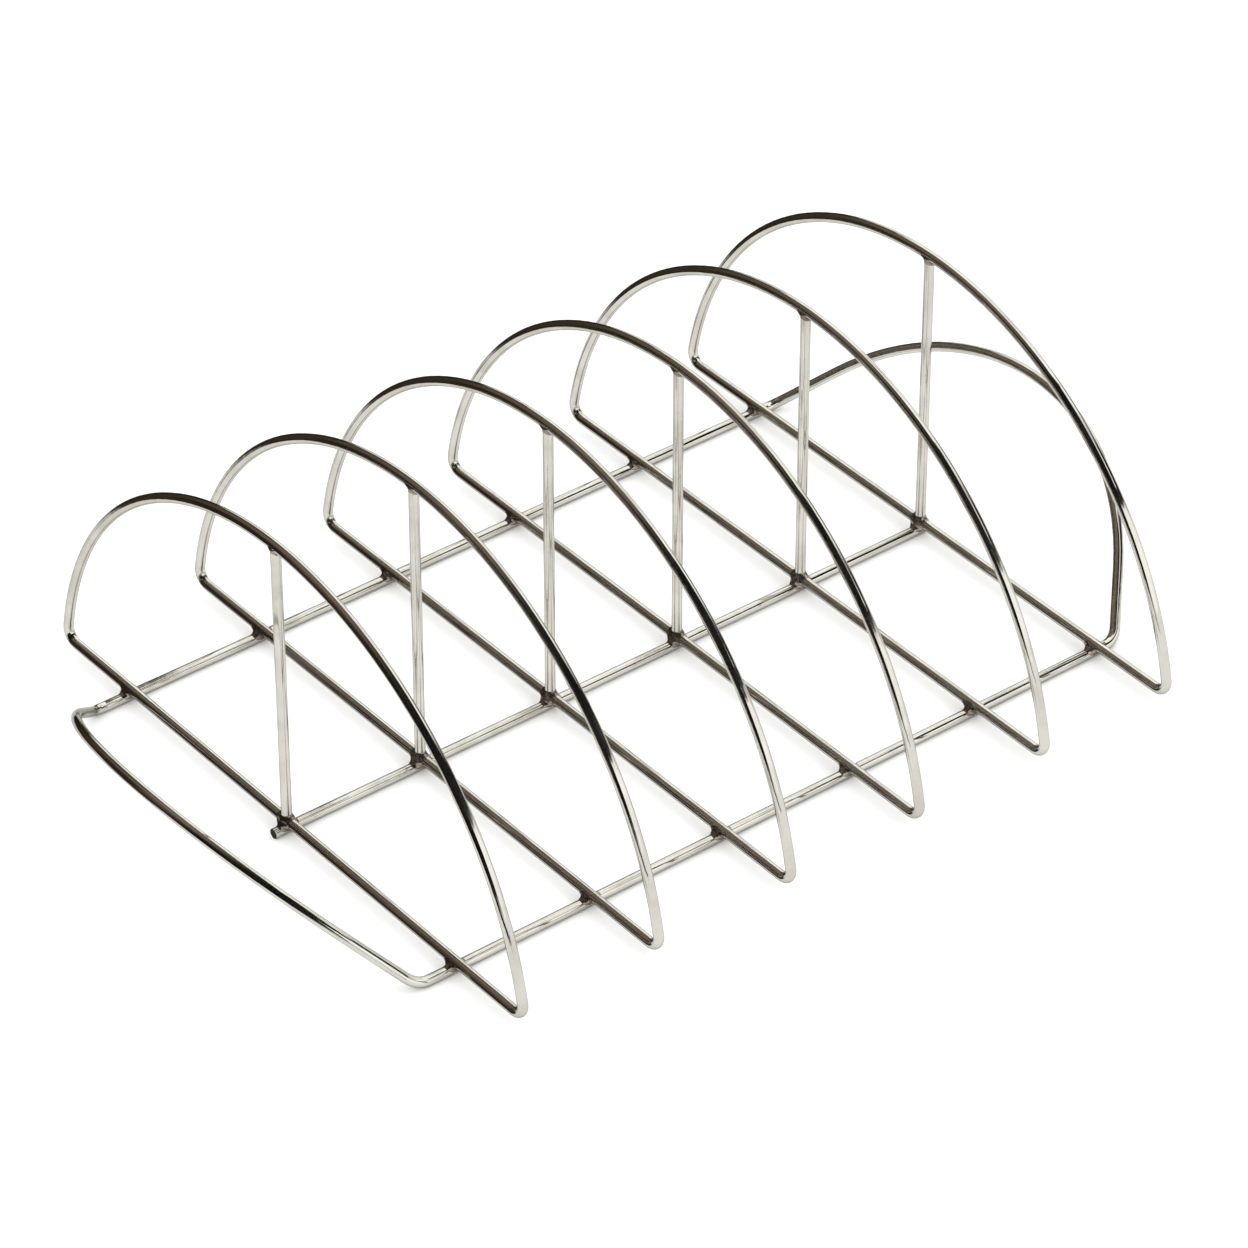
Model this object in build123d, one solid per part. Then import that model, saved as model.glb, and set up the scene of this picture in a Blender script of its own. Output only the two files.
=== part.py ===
from build123d import *
import math
import os

# Welded wire toast rack: six D-shaped hoops stand across a wire base frame, and the
# five gaps between them hold the toast. Millimetres, +Z up. X runs along the rack,
# from the front handle (-X) to the back handle (+X), and Y runs along the hoop bars.
# The origin is on the table, under the middle of the rack's bounding box.

# ---------------------------------------------------------------- driving dimensions
WIRE = 1.7                      # diameter of every wire
SET_DOWN = 0.2                  # how far crossing wires are pressed into each other
POST_SET_IN = 0.35              # how far a post's square-cut ends go into the hoop

HOOP_COUNT = 6
HOOP_PITCH = 25.5               # from one hoop to the next
HOOP_WIDTH = 120.0              # between the bottom corners, on the wire's centre line
HOOP_RISE = 51.8                # from the straight bar up to the crown, centre to centre
HOOP_CORNER_RADIUS = 2.2        # the wire's bottom corners, on the centre line

RAIL_SPREAD = 85.4              # between the two side rails
FRONT_OVERHANG = 6.8            # first hoop to the corner where the front handle starts
BACK_OVERHANG = 4.4             # last hoop to the corner where the back handle starts
CENTRE_RAIL_FRONT_END = 2.6     # centre rail sticking out past the first hoop
CENTRE_RAIL_BACK_END = 1.0      # centre rail past the middle of the last hoop

HANDLE_TILT = 46.5              # plane of a handle above the table, degrees
HANDLE_SPLAY = 36.0             # handle legs leaning in towards each other, degrees
HANDLE_LEG = 12.5               # straight leg, from the corner to the start of the bow
HANDLE_BEND_RADIUS = 4.0        # the bend from the rail up into the leg

CROSSING_BEAD = 1.4             # radius of the weld bead where two wires cross
POST_BEAD = 1.25                # radius of the weld bead at each end of a post

# ---------------------------------------------------------------- derived positions
WIRE_RADIUS = WIRE / 2
RAIL_Z = WIRE_RADIUS                        # the rails lie on the table
BAR_Z = RAIL_Z + WIRE - SET_DOWN            # the hoops' bars lie across the rails
CROWN_Z = BAR_Z + HOOP_RISE
CROSSING_Z = (RAIL_Z + BAR_Z) / 2
HALF_WIDTH = HOOP_WIDTH / 2
HALF_SPREAD = RAIL_SPREAD / 2

TILT = math.radians(HANDLE_TILT)
SPLAY = math.radians(HANDLE_SPLAY)
BOW_RADIUS = (HALF_SPREAD - HANDLE_LEG * math.sin(SPLAY)) / math.cos(SPLAY)
HANDLE_REACH = HANDLE_LEG * math.cos(SPLAY) + BOW_RADIUS * (1 - math.sin(SPLAY))

# The first hoop stands where it centres the whole rack, with its handles, on the origin.
FIRST_HOOP_X = (FRONT_OVERHANG - BACK_OVERHANG - (HOOP_COUNT - 1) * HOOP_PITCH) / 2
HOOP_X = [FIRST_HOOP_X + i * HOOP_PITCH for i in range(HOOP_COUNT)]
FRONT_CORNER_X = HOOP_X[0] - FRONT_OVERHANG
BACK_CORNER_X = HOOP_X[-1] + BACK_OVERHANG


def round_wire(edges):
    """Solid wire that follows lines and arcs, each tangent to the next."""
    runs = [sweep(Plane(origin=e @ 0, z_dir=e % 0) * Circle(WIRE_RADIUS), path=e) for e in edges]
    return runs[0].fuse(*runs[1:])


def hoop(x):
    """One wire closed into a D: a straight bar and a circular arch over it."""
    bar = Line((-HALF_WIDTH, 0), (HALF_WIDTH, 0))
    arch = ThreePointArc((HALF_WIDTH, 0), (0, HOOP_RISE), (-HALF_WIDTH, 0))
    outline = make_face([bar, arch])
    outline = fillet(outline.vertices(), HOOP_CORNER_RADIUS)
    upright = Plane(origin=(x, 0, BAR_Z), x_dir=(0, 1, 0), z_dir=(1, 0, 0))
    return round_wire((upright * outline).edges())


def handle(corner_x, outward):
    """Edges of one handle: two bends, two splayed legs and the bow between them."""
    along_rail = Vector(outward, 0, 0)
    up_slope = Vector(outward * math.cos(TILT), 0, math.sin(TILT))
    edges = []
    bow_ends = []
    for side in (-1, 1):
        corner = Vector(corner_x, side * HALF_SPREAD, RAIL_Z)
        leg = up_slope * math.cos(SPLAY) + Vector(0, -side, 0) * math.sin(SPLAY)
        turn = math.radians(along_rail.get_angle(leg))
        set_back = HANDLE_BEND_RADIUS * math.tan(turn / 2)
        bend_end = corner + leg * set_back
        bow_end = corner + leg * HANDLE_LEG
        edges.append(TangentArc(corner - along_rail * set_back, bend_end, tangent=along_rail))
        edges.append(Line(bend_end, bow_end))
        bow_ends.append(bow_end)
    top = Vector(corner_x, 0, RAIL_Z) + up_slope * HANDLE_REACH
    edges.append(ThreePointArc(bow_ends[0], top, bow_ends[1]))
    return edges


def base_frame():
    """Both side rails and both handles, bent from one closed wire."""
    front = handle(FRONT_CORNER_X, -1)
    back = handle(BACK_CORNER_X, 1)
    # A handle's edges 0 and 2 are its bends, which start at the ends of the rails.
    rails = [Line(front[bend] @ 0, back[bend] @ 0) for bend in (0, 2)]
    return round_wire(front + back + rails)


def centre_rail():
    """Straight rail under the middle of the hoops, cut square at both ends."""
    start = HOOP_X[0] - CENTRE_RAIL_FRONT_END
    length = HOOP_X[-1] + CENTRE_RAIL_BACK_END - start
    return extrude(Plane(origin=(start, 0, RAIL_Z), z_dir=(1, 0, 0)) * Circle(WIRE_RADIUS), length)


def post(x):
    """Upright from the bar to the crown of one hoop, before its ends are fitted."""
    bottom = BAR_Z + WIRE_RADIUS - POST_SET_IN
    top = CROWN_Z - WIRE_RADIUS + POST_SET_IN
    return extrude(Plane(origin=(x, 0, bottom), z_dir=(0, 0, 1)) * Circle(WIRE_RADIUS), top - bottom)


def weld_beads(x):
    """The weld metal of one hoop: both side rails, the middle joint and the crown."""
    side_beads = [
        Pos(x, side * HALF_SPREAD, CROSSING_Z) * Sphere(CROSSING_BEAD) for side in (-1, 1)
    ]
    middle_bead = Pos(x, 0, CROSSING_Z) * Sphere(CROSSING_BEAD)
    middle_bead += Pos(x, 0, BAR_Z + WIRE_RADIUS) * Sphere(POST_BEAD)
    crown_bead = Pos(x, 0, CROWN_Z - WIRE_RADIUS) * Sphere(POST_BEAD)
    return [*side_beads, middle_bead, crown_bead]


# ---------------------------------------------------------------- the pieces
hoops = [hoop(x) for x in HOOP_X]
posts = [post(x) - hoops[i] for i, x in enumerate(HOOP_X)]

frame = base_frame()
rail = centre_rail()
for each_hoop in hoops:
    frame -= each_hoop
    rail -= each_hoop

parts = {"base_frame": frame, "centre_rail": rail}
for i, x in enumerate(HOOP_X):
    number = i + 1
    beads = [bead - hoops[i] - posts[i] - frame - rail for bead in weld_beads(x)]
    parts[f"hoop_{number}"] = hoops[i]
    parts[f"post_{number}"] = posts[i]
    parts[f"welds_hoop_{number}"] = Compound([solid for bead in beads for solid in bead.solids()])

os.makedirs("parts", exist_ok=True)
for name, shape in parts.items():
    export_step(shape, f"parts/{name}.step")
    size = shape.bounding_box().size
    print(f"{name}: {len(shape.solids())} solid(s), {shape.volume:.2f} mm3, {size.X:.2f} x {size.Y:.2f} x {size.Z:.2f}")

print(f"bow radius {BOW_RADIUS:.2f}, handle reach {HANDLE_REACH:.2f}, hoops at {HOOP_X}")
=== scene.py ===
import math

import bpy
import numpy as np
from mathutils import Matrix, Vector


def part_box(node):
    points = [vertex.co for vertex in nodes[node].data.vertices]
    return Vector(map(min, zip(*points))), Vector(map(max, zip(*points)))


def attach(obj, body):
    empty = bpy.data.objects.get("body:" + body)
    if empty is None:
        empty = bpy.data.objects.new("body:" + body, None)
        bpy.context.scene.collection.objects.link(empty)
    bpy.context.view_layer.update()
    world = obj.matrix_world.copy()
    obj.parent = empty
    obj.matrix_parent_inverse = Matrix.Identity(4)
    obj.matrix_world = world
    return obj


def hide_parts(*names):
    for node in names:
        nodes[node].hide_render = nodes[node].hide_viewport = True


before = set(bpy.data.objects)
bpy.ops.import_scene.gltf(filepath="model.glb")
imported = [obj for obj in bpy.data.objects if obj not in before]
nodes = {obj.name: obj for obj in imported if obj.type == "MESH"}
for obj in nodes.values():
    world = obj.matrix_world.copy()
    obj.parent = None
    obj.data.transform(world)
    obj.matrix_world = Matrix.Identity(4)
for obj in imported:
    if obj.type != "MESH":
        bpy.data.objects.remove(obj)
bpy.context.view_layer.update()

# ---------------------------------------------------------------- sizes read from the frame
HOOPS = 6                                           # hoop_1 is at the front handle
HOOP_X = [sum(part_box(f"post_{i}")[k].x for k in (0, 1)) / 2 for i in range(1, HOOPS + 1)]
WIRE_R = (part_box("hoop_1")[1].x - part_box("hoop_1")[0].x) / 2
RAIL_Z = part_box("centre_rail")[0].z + WIRE_R
BAR_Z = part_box("hoop_1")[0].z + WIRE_R
CROWN_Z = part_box("hoop_1")[1].z - WIRE_R
RAIL_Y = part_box("base_frame")[1].y - WIRE_R
HALF_BAR = 0.060                                    # half a bar, out to the arch's centre line
RISE = CROWN_Z - BAR_Z
ARCH_R = (HALF_BAR**2 + RISE**2) / (2 * RISE)       # the arch is one arc of this radius
ARCH_Z = CROWN_Z - ARCH_R


# ---------------------------------------------------------------- node helpers
class Tree:
    """Short names for the few shader nodes that the materials and the world are made of."""

    def __init__(self, owner):
        owner.use_nodes = True
        self.tree = owner.node_tree
        self.tree.nodes.clear()

    def new(self, kind, settings=None, **sockets):
        node = self.tree.nodes.new(kind)
        for name, value in (settings or {}).items():
            setattr(node, name, value)
        for name, value in sockets.items():
            self.put(node.inputs[name.replace("_", " ")], value)
        return node

    def put(self, socket, value):
        if isinstance(value, bpy.types.NodeSocket):
            self.tree.links.new(value, socket)
        else:
            socket.default_value = value

    def math(self, operation, *values):
        node = self.tree.nodes.new("ShaderNodeMath")
        node.operation = operation
        for socket, value in zip(node.inputs, values):
            self.put(socket, value)
        return node.outputs[0]

    def dot(self, vector, direction):
        node = self.tree.nodes.new("ShaderNodeVectorMath")
        node.operation = "DOT_PRODUCT"
        self.put(node.inputs[0], vector)
        node.inputs[1].default_value = direction
        return node.outputs["Value"]

    def ramp(self, value, low, high, to_low=0.0, to_high=1.0):
        node = self.tree.nodes.new("ShaderNodeMapRange")
        node.interpolation_type = "SMOOTHSTEP"
        for socket, v in zip(node.inputs, (value, low, high, to_low, to_high)):
            self.put(socket, v)
        return node.outputs[0]

    def mix(self, factor, a, b):
        node = self.tree.nodes.new("ShaderNodeMix")
        node.data_type = "RGBA"
        colours = [s for s in node.inputs if s.type == "RGBA"]
        self.put(node.inputs[0], factor)
        for socket, value in zip(colours, (a, b)):
            self.put(socket, value)
        return [s for s in node.outputs if s.type == "RGBA"][0]


def rgb(code):
    """Linear colour of a six-digit sRGB code."""
    parts = [int(code[i : i + 2], 16) / 255 for i in (0, 2, 4)]
    return (*[c / 12.92 if c <= 0.04045 else ((c + 0.055) / 1.055) ** 2.4 for c in parts], 1.0)


def toward(azimuth, elevation=0.0):
    """Unit vector; azimuth 0 is +Y and 90 is +X."""
    a, e = math.radians(azimuth), math.radians(elevation)
    return (math.sin(a) * math.cos(e), math.cos(a) * math.cos(e), math.sin(e))


# ---------------------------------------------------------------- chrome
def chrome(name, colour, second, roughness, waviness, cut_ends=False):
    """Bright plated wire: never quite straight, with uneven plating and fine rubbing marks."""
    material = bpy.data.materials.new(name)
    t = Tree(material)
    place = t.new("ShaderNodeTexCoord").outputs["Object"]
    cloud = t.new("ShaderNodeTexNoise", Vector=place, Scale=160.0, Detail=4.0).outputs["Fac"]
    fine = t.new("ShaderNodeTexNoise", Vector=place, Scale=2600.0, Detail=3.0).outputs["Fac"]
    tone = t.mix(t.ramp(cloud, 0.35, 0.7), rgb(colour), rgb(second))
    rough = t.ramp(cloud, 0.3, 0.75, roughness, roughness * 1.9)
    rough = t.math("ADD", rough, t.math("MULTIPLY", fine, 0.03))
    if cut_ends:
        facing = t.new("ShaderNodeNewGeometry").outputs["Normal"]
        end = t.ramp(t.math("ABSOLUTE", t.dot(facing, (1, 0, 0))), 0.8, 0.95)
        sheared = t.mix(fine, rgb("1c1814"), rgb("5a5047"))
        tone = t.mix(end, tone, sheared)
        rough = t.math("ADD", rough, t.math("MULTIPLY", end, 0.3))
    sway = t.new("ShaderNodeTexNoise", Vector=place, Scale=48.0, Detail=1.0).outputs["Fac"]
    bend = t.new("ShaderNodeBump", Strength=1.0, Distance=0.0006, Height=sway)
    waves = t.new("ShaderNodeTexNoise", Vector=place, Scale=330.0, Detail=1.5).outputs["Fac"]
    height = t.math("ADD", waves, t.math("MULTIPLY", fine, 0.012))
    bump = t.new(
        "ShaderNodeBump", Strength=0.5, Distance=waviness, Height=height, Normal=bend.outputs[0]
    )
    shader = t.new(
        "ShaderNodeBsdfPrincipled",
        Base_Color=tone,
        Metallic=1.0,
        Roughness=rough,
        Normal=bump.outputs[0],
    )
    shader.inputs["Specular Tint"].default_value = (0.62, 0.60, 0.56, 1.0)
    t.put(t.new("ShaderNodeOutputMaterial").inputs[0], shader.outputs[0])
    return material


BRIGHT_PLATE = {"colour": "e8e5dd", "second": "d9d5cb", "roughness": 0.06, "waviness": 0.00006}
DULL_PLATE = {"colour": "bdb4a8", "second": "857a6e", "roughness": 0.12, "waviness": 0.00010}
wire_chrome = chrome("wire_chrome", **BRIGHT_PLATE)
cut_wire_chrome = chrome("cut_wire_chrome", **BRIGHT_PLATE, cut_ends=True)
weld_chrome = chrome("weld_chrome", **DULL_PLATE)
for name, node in nodes.items():
    finish = cut_wire_chrome if name == "centre_rail" else wire_chrome
    if name.startswith("welds"):
        finish = weld_chrome
    node.data.materials.clear()
    node.data.materials.append(finish)


# ---------------------------------------------------------------- weld fillets
WELD_CELL = 0.00017                                 # grid that the weld skins are made on
WELD_REACH = 0.0050                                 # half the grid's size, round one weld
WELD_SINK = 0.000012                                # the skin lies this far inside a bare wire
WELD_PROUD = -0.000006                              # faces deeper in the wires than this go
CROSSING_FILLET = 0.0015
CROWN_FILLET = 0.0008
CENTRE_RAIL_ENDS = [corner.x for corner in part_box("centre_rail")]
SOLVER_STEPS = 6


def smooth_union(a, b, width):
    """Distance to the union of two shapes, with a fillet of about that width between them."""
    h = np.clip(0.5 + 0.5 * (b - a) / width, 0, 1)
    return b + (a - b) * h - width * h * (1 - h)


def surface(distance, low, high, cell):
    """Mesh of the zero surface of a distance function, as one quad for each crossed grid edge."""
    axes = [np.arange(lo, hi + cell, cell) for lo, hi in zip(low, high)]
    grid = np.stack(np.meshgrid(*axes, indexing="ij"), -1)
    inside = distance(grid) < 0
    cells = [n - 1 for n in inside.shape]
    corners = sum(
        inside[i : i + cells[0], j : j + cells[1], k : k + cells[2]].astype(int)
        for i in (0, 1)
        for j in (0, 1)
        for k in (0, 1)
    )
    crossed = (corners > 0) & (corners < 8)
    index = -np.ones(crossed.shape, int)
    index[crossed] = np.arange(crossed.sum())
    points = grid[:-1, :-1, :-1][crossed] + cell / 2
    nudge = cell * 0.05
    for _ in range(SOLVER_STEPS):
        value = distance(points)
        slope = np.stack(
            [
                (distance(points + step) - distance(points - step)) / (2 * nudge)
                for step in np.eye(3) * nudge
            ],
            -1,
        )
        move = slope * (value / np.maximum((slope**2).sum(-1), 1e-6))[:, None]
        points = points - np.clip(move, -cell / 2, cell / 2)
    faces = []
    for axis in range(3):
        b, c = (axis + 1) % 3, (axis + 2) % 3
        ahead = np.roll(inside, -1, axis)
        flip = np.argwhere(inside != ahead)
        keep = [(flip[:, axis] < cells[axis])] + [
            (flip[:, other] > 0) & (flip[:, other] < cells[other]) for other in (b, c)
        ]
        flip = flip[np.all(keep, 0)]
        ring = []
        for db, dc in ((0, 0), (1, 0), (1, 1), (0, 1)):
            at = flip.copy()
            at[:, b] -= db
            at[:, c] -= dc
            ring.append(index[tuple(at.T)])
        quads = np.stack(ring, -1)
        outward = inside[tuple(flip.T)]
        quads[~outward] = quads[~outward][:, ::-1]
        faces.append(quads)
    return points, np.concatenate(faces)


def wire_x(p, y, z, low, high):
    side = np.hypot(p[..., 1] - y, p[..., 2] - z) - WIRE_R
    return np.maximum(side, np.maximum(low - p[..., 0], p[..., 0] - high))


def wire_y(p, x, z):
    return np.hypot(p[..., 0] - x, p[..., 2] - z) - WIRE_R


def arch(p, x):
    ring = np.hypot(p[..., 1], p[..., 2] - ARCH_Z) - ARCH_R
    return np.hypot(p[..., 0] - x, ring) - WIRE_R


def upright(p, x, low, high):
    side = np.hypot(p[..., 0] - x, p[..., 1]) - WIRE_R
    return np.maximum(side, np.maximum(low - p[..., 2], p[..., 2] - high))


def weld_piece(number, x, rng):
    """The four welds of one hoop as one mesh: only the skin that stands out of the wires."""
    made_points, made_faces, count = [], [], 0
    for place in ("near_rail", "centre_rail", "far_rail", "crown"):
        shift = rng.uniform(-1, 1, 3) * 0.00018
        width = (CROWN_FILLET if place == "crown" else CROSSING_FILLET) * rng.uniform(0.9, 1.1)
        phase = rng.uniform(0, 6.28, 3)

        def ripple(p):
            q = p * 3600 + phase
            return 0.00003 * (np.sin(q[..., 0]) * np.sin(q[..., 1] * 1.3) + np.sin(q[..., 2] * 1.7))

        if place == "crown":
            centre = np.array([x, 0.0, CROWN_Z - WIRE_R])
            solids = [lambda p: arch(p, x), lambda p: upright(p, x, BAR_Z, CROWN_Z - 0.0005)]
        else:
            rail_y = {"near_rail": -RAIL_Y, "centre_rail": 0.0, "far_rail": RAIL_Y}[place]
            # Round a weld the side rails have no end, but the centre rail's cut ends are near.
            ends = CENTRE_RAIL_ENDS if place == "centre_rail" else (-1.0, 1.0)
            centre = np.array([x, rail_y, (BAR_Z + RAIL_Z) / 2])
            solids = [
                lambda p: wire_y(p, x, BAR_Z),
                lambda p, y=rail_y, ends=ends: wire_x(p, y, RAIL_Z, *ends),
            ]
            if place == "centre_rail":
                solids.append(lambda p: upright(p, x, BAR_Z, CROWN_Z))

        def wires(p):
            return np.minimum.reduce([solid(p) for solid in solids])

        def skin(p):
            bare = wires(p)
            nearness = np.linalg.norm(p - centre - shift, axis=-1)
            fade = np.clip((0.0035 - nearness) / 0.0018, 0.02, 1)
            # The metal runs into the crossing from above, not under the rail.
            fade = fade * np.clip((p[..., 2] - 0.0003) / 0.0009, 0.02, 1)
            # Past the last hoop the rail soon turns up into the handle.
            fade = fade * np.clip((HOOP_X[-1] + 0.0024 - p[..., 0]) / 0.0008, 0.02, 1)
            total = solids[0](p)
            for solid in solids[1:]:
                total = smooth_union(total, solid(p), width * fade)
            return total + ripple(p) * np.clip((bare - total) / 0.00012, 0, 1) + WELD_SINK

        points, faces = surface(skin, centre - WELD_REACH, centre + WELD_REACH, WELD_CELL)
        points[:, 2] = np.clip(points[:, 2], 0.0, CROWN_Z + WIRE_R)
        proud = wires(points) > WELD_PROUD
        faces = faces[proud[faces].any(1)]
        used = np.unique(faces)
        renumber = -np.ones(len(points), int)
        renumber[used] = np.arange(len(used))
        made_points.append(points[used])
        made_faces.append(renumber[faces] + count)
        count += len(used)
    mesh = bpy.data.meshes.new(f"weld_skin_{number}")
    mesh.from_pydata(np.concatenate(made_points).tolist(), [], np.concatenate(made_faces).tolist())
    mesh.materials.append(weld_chrome)
    mesh.shade_smooth()
    piece = bpy.data.objects.new(f"weld_skin_{number}", mesh)
    bpy.context.scene.collection.objects.link(piece)
    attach(piece, "root")
    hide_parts(f"welds_hoop_{number}")


rng = np.random.default_rng(7)
for number, x in enumerate(HOOP_X, 1):
    weld_piece(number, x, rng)


# ---------------------------------------------------------------- floor
def sheet(name, corners, material):
    """One flat face that isn't part of the rack."""
    mesh = bpy.data.meshes.new(name)
    mesh.from_pydata(corners, [], [(0, 1, 2, 3)])
    mesh.materials.append(material)
    piece = bpy.data.objects.new(name, mesh)
    bpy.context.scene.collection.objects.link(piece)
    return piece


def floor():
    """A plain pale floor. The wires see the studio through it, but right next to the wires they see
    a painted shadow: a near-black sheet mixed in by ambient occlusion.
    """
    material = bpy.data.materials.new("pale_floor")
    t = Tree(material)
    plain = t.new("ShaderNodeBsdfDiffuse", Color=(0.93, 0.93, 0.925, 1.0)).outputs[0]
    # Painted shadow: only glossy rays see this near-black floor, where ambient occlusion finds the
    # wires close by.
    painted_shadow_sheet = t.new("ShaderNodeBsdfDiffuse", Color=(0.06, 0.055, 0.05, 1.0)).outputs[0]
    through = t.new("ShaderNodeBsdfTransparent").outputs[0]
    near = t.new("ShaderNodeAmbientOcclusion", {"samples": 8}, Distance=0.005).outputs["AO"]
    painted_shadow_mask = t.math("SUBTRACT", 1.0, near)
    seen = t.new("ShaderNodeLightPath").outputs["Is Glossy Ray"]

    def blend(factor, a, b):
        node = t.new("ShaderNodeMixShader")
        for socket, value in zip(node.inputs, (factor, a, b)):
            t.put(socket, value)
        return node.outputs[0]

    shader = blend(seen, plain, blend(painted_shadow_mask, through, painted_shadow_sheet))
    t.put(t.new("ShaderNodeOutputMaterial").inputs[0], shader)
    half = 3.0
    corners = [(-half, -half, 0), (half, -half, 0), (half, half, 0), (-half, half, 0)]
    sheet("floor", corners, material)


floor()


# ---------------------------------------------------------------- studio
DARK_ROOM = rgb("0c0a09")
WHITE_CARD = (1.12, 1.12, 1.10, 1.0)
PALE_SHEET = (0.905, 0.905, 0.90, 1.0)


def panel(name, colour, corners):
    """A flat panel that the metal reflects and the camera doesn't see."""
    material = bpy.data.materials.new(name)
    t = Tree(material)
    glow = t.new("ShaderNodeEmission", Color=colour)
    t.put(t.new("ShaderNodeOutputMaterial").inputs[0], glow.outputs[0])
    piece = sheet(name, corners, material)
    piece.visible_camera = False
    piece.visible_shadow = False
    return piece


def room_light():
    """White soft light all round, in which the metal sees a dark room instead."""
    world = bpy.data.worlds.new("studio")
    bpy.context.scene.world = world
    t = Tree(world)
    d = t.new("ShaderNodeTexCoord").outputs["Generated"]
    y, z = (t.dot(d, axis) for axis in ((0, 1, 0), (0, 0, 1)))

    # A black room behind the camera, with a brown wall behind the rack and a grey ceiling.
    wall = t.mix(t.ramp(z, 0.1, 0.65), rgb("3a3027"), rgb("64594c"))
    room = t.mix(t.ramp(t.dot(d, toward(-22, 15)), 0.5, 0.95), DARK_ROOM, wall)
    above = t.math("MULTIPLY", t.ramp(z, 0.62, 0.9), t.ramp(y, -0.35, 0.35))
    room = t.mix(above, room, rgb("786d61"))
    # The pale sheet under the rack, which curves up in front and ends soon behind.
    pale = t.ramp(t.dot(d, toward(-25, 72)), -0.04, -0.14)
    gap = t.ramp(t.dot(d, toward(-38, -18)), 0.945, 0.975)
    pale = t.math("MULTIPLY", pale, t.math("SUBTRACT", 1.0, gap))
    room = t.mix(pale, room, PALE_SHEET)
    # White cards on the right, one low and behind the rack, and one higher up.
    for azimuth, elevation, edge in ((55, 18, 0.885), (96, 40, 0.945)):
        card = t.ramp(t.dot(d, toward(azimuth, elevation)), edge, edge + 0.04)
        room = t.mix(card, room, WHITE_CARD)
    seen = t.new("ShaderNodeLightPath").outputs["Is Glossy Ray"]
    colour = t.mix(seen, (1.45, 1.45, 1.445, 1), room)
    background = t.new("ShaderNodeBackground", Color=colour)
    t.put(t.new("ShaderNodeOutputWorld").inputs[0], background.outputs[0])


def level(low, high, z):
    """Corners of a level rectangle between two points given as (x, y)."""
    return [(low[0], low[1], z), (high[0], low[1], z), (high[0], high[1], z), (low[0], high[1], z)]


def panels():
    """What the metal sees nearer to the rack than the room."""
    # A long softbox over the right-hand side, turned a little.
    box_x, box_z, half_width, lean = 0.215, 0.40, 0.10, math.radians(10)
    softbox = []
    for side, v in ((-1, -0.14), (1, -0.14), (1, 0.46), (-1, 0.46)):
        u = side * half_width
        x = box_x + u * math.cos(lean) + v * math.sin(lean)
        y = v * math.cos(lean) - u * math.sin(lean)
        softbox.append((x, y, box_z))
    panel("softbox", (1.15, 1.15, 1.12, 1), softbox)
    # A narrower strip carries on from it towards the front, mostly for the rails.
    strip = level((0.17, -0.48), (0.28, -0.15), box_z)
    panel("front_strip", (1.05, 1.05, 1.03, 1), strip).visible_diffuse = False
    # A white card stands in front. Over it, the near sides of the arches see the dark room.
    y = -0.33
    card = [(-0.18, y, 0.04), (0.50, y, 0.04), (0.50, y, 0.21), (-0.18, y, 0.21)]
    panel("front_card", WHITE_CARD, card).visible_diffuse = False
    # A dark flag stands on the left, for the far ends of the bars.
    x = -0.217
    flag = [(x, 0.12, 0.0), (x, 0.42, 0.0), (x, 0.42, 0.17), (x, 0.12, 0.17)]
    panel("dark_flag", rgb("26201b"), flag).visible_diffuse = False
    # The dark table, past the end of the pale sheet, shows in the front handle.
    table = level((-0.95, -0.95), (-0.15, 0.05), -0.002)
    panel("dark_table", DARK_ROOM, table).visible_diffuse = False


def overhead_lamp():
    """A soft lamp for the floor, which the metal doesn't reflect."""
    lamp = bpy.data.lights.new("overhead_lamp", "AREA")
    lamp.shape = "DISK"
    lamp.size = 0.9
    lamp.energy = 1.0
    holder = bpy.data.objects.new("overhead_lamp", lamp)
    up = Vector(toward(84, 66))
    holder.location = up * 1.1
    holder.rotation_euler = up.to_track_quat("Z", "Y").to_euler()
    holder.visible_glossy = False
    bpy.context.scene.collection.objects.link(holder)


room_light()
panels()
overhead_lamp()


# ---------------------------------------------------------------- camera
def camera():
    """A long lens that looks down on the rack, past its front handle and its -Y side."""
    distance = 0.9524
    aim = Vector((0.0029, -0.0004, 0.0100))
    back = Vector(toward(-141.83, 36.52))
    lens = bpy.data.cameras.new("camera")
    lens.sensor_width = 36.0
    lens.lens = 173.9
    lens.clip_start = 0.01
    holder = bpy.data.objects.new("camera", lens)
    holder.location = aim + back * distance
    holder.rotation_euler = back.to_track_quat("Z", "Y").to_euler()
    bpy.context.scene.collection.objects.link(holder)
    bpy.context.scene.camera = holder


camera()
bpy.context.scene.view_settings.view_transform = "Standard"

bpy.context.view_layer.update()
